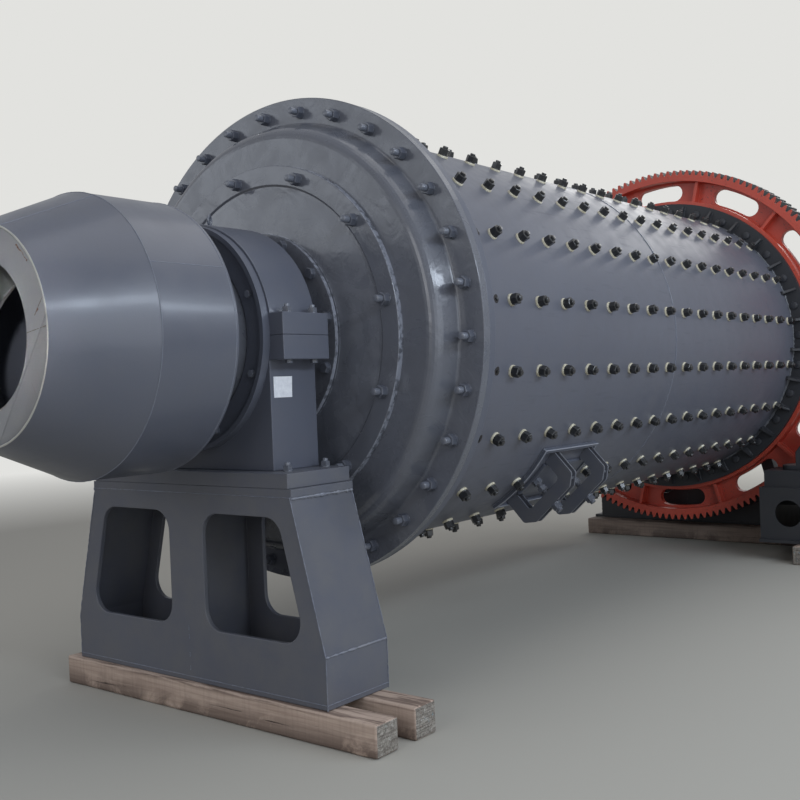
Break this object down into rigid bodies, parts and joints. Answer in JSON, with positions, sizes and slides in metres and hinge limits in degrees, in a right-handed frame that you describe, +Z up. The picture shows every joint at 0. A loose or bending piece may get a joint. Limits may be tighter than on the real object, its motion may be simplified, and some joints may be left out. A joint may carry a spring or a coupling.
{
  "type": "ball mill",
  "caption": "Grinding mill drum with bolted liners on two trunnion bearings, with drum feeder, girth gear, drive pinion and box pedestals on timbers.",
  "frame": {"origin": "on the floor, under the middle of the whole machine's outline", "axes": "+X along the mill from the feed end to the discharge end, +Z up, drive pinion on the -Y side"},
  "size_m": [7.054, 3.5655, 3.15],
  "materials": {
    "mill_paint": "semi-gloss slate grey paint",
    "charcoal_paint": "dull charcoal paint",
    "primer": "matt primer with rust at the edges",
    "gear_paint": "orange-red paint, dark tooth flanks",
    "timber": "rough sawn stained hardwood",
    "bare_steel": "machined steel",
    "bush_metal": "machined bronze"
  },
  "bodies": {
    "root": {"feed_front_timber": "timber", "feed_rear_timber": "timber", "discharge_front_timber": "timber", "discharge_rear_timber": "timber", "drive_near_timber": "timber", "drive_far_timber": "timber", "feed_pedestal": "mill_paint", "discharge_pedestal": "charcoal_paint", "feed_sole_plate": "mill_paint", "discharge_sole_plate": "charcoal_paint", "feed_bearing_base": "mill_paint", "feed_bearing_cap": "mill_paint", "feed_bearing_bush": "bush_metal", "feed_end_cover": "mill_paint", "discharge_bearing_base": "charcoal_paint", "discharge_bearing_cap": "charcoal_paint", "discharge_bearing_bush": "bush_metal", "discharge_end_cover": "charcoal_paint", "pinion_base": "charcoal_paint", "pinion_front_bearing": "charcoal_paint", "pinion_rear_bearing": "charcoal_paint"},
    "drum": {"shell": "mill_paint", "shell_liner": "bare_steel", "feed_shell_flange": "mill_paint", "gear_shell_flange": "charcoal_paint", "feed_head": "mill_paint", "discharge_head": "charcoal_paint", "feed_trunnion": "mill_paint", "discharge_trunnion": "charcoal_paint", "feed_seal_ring": "mill_paint", "discharge_seal_ring": "charcoal_paint", "girth_gear": "gear_paint", "manhole_frame": "mill_paint", "manhole_door": "mill_paint", "manhole_feed_bridge": "mill_paint", "manhole_gear_bridge": "mill_paint", "feeder_back_plate": "mill_paint", "feeder_drum": "mill_paint", "feeder_cone": "mill_paint", "feeder_mouth": "primer", "feeder_scoop": "primer", "feeder_spiral": "mill_paint"},
    "pinion": {"pinion_gear": "bare_steel", "pinion_shaft": "bare_steel"}
  },
  "joints": [
    {"name": "drum_spin", "type": "hinge", "parent": "root", "child": "drum", "pos_m": [0, 0.30683, 1.674], "axis": [1, 0, 0], "continuous": true},
    {"name": "pinion_spin", "type": "hinge", "parent": "root", "child": "pinion", "pos_m": [2.777, -1.193, 0.951], "axis": [1, 0, 0], "continuous": true}
  ],
  "couplings": [
    {"joint": "pinion_spin", "follows": "drum_spin", "ratio": -7.0435}
  ]
}
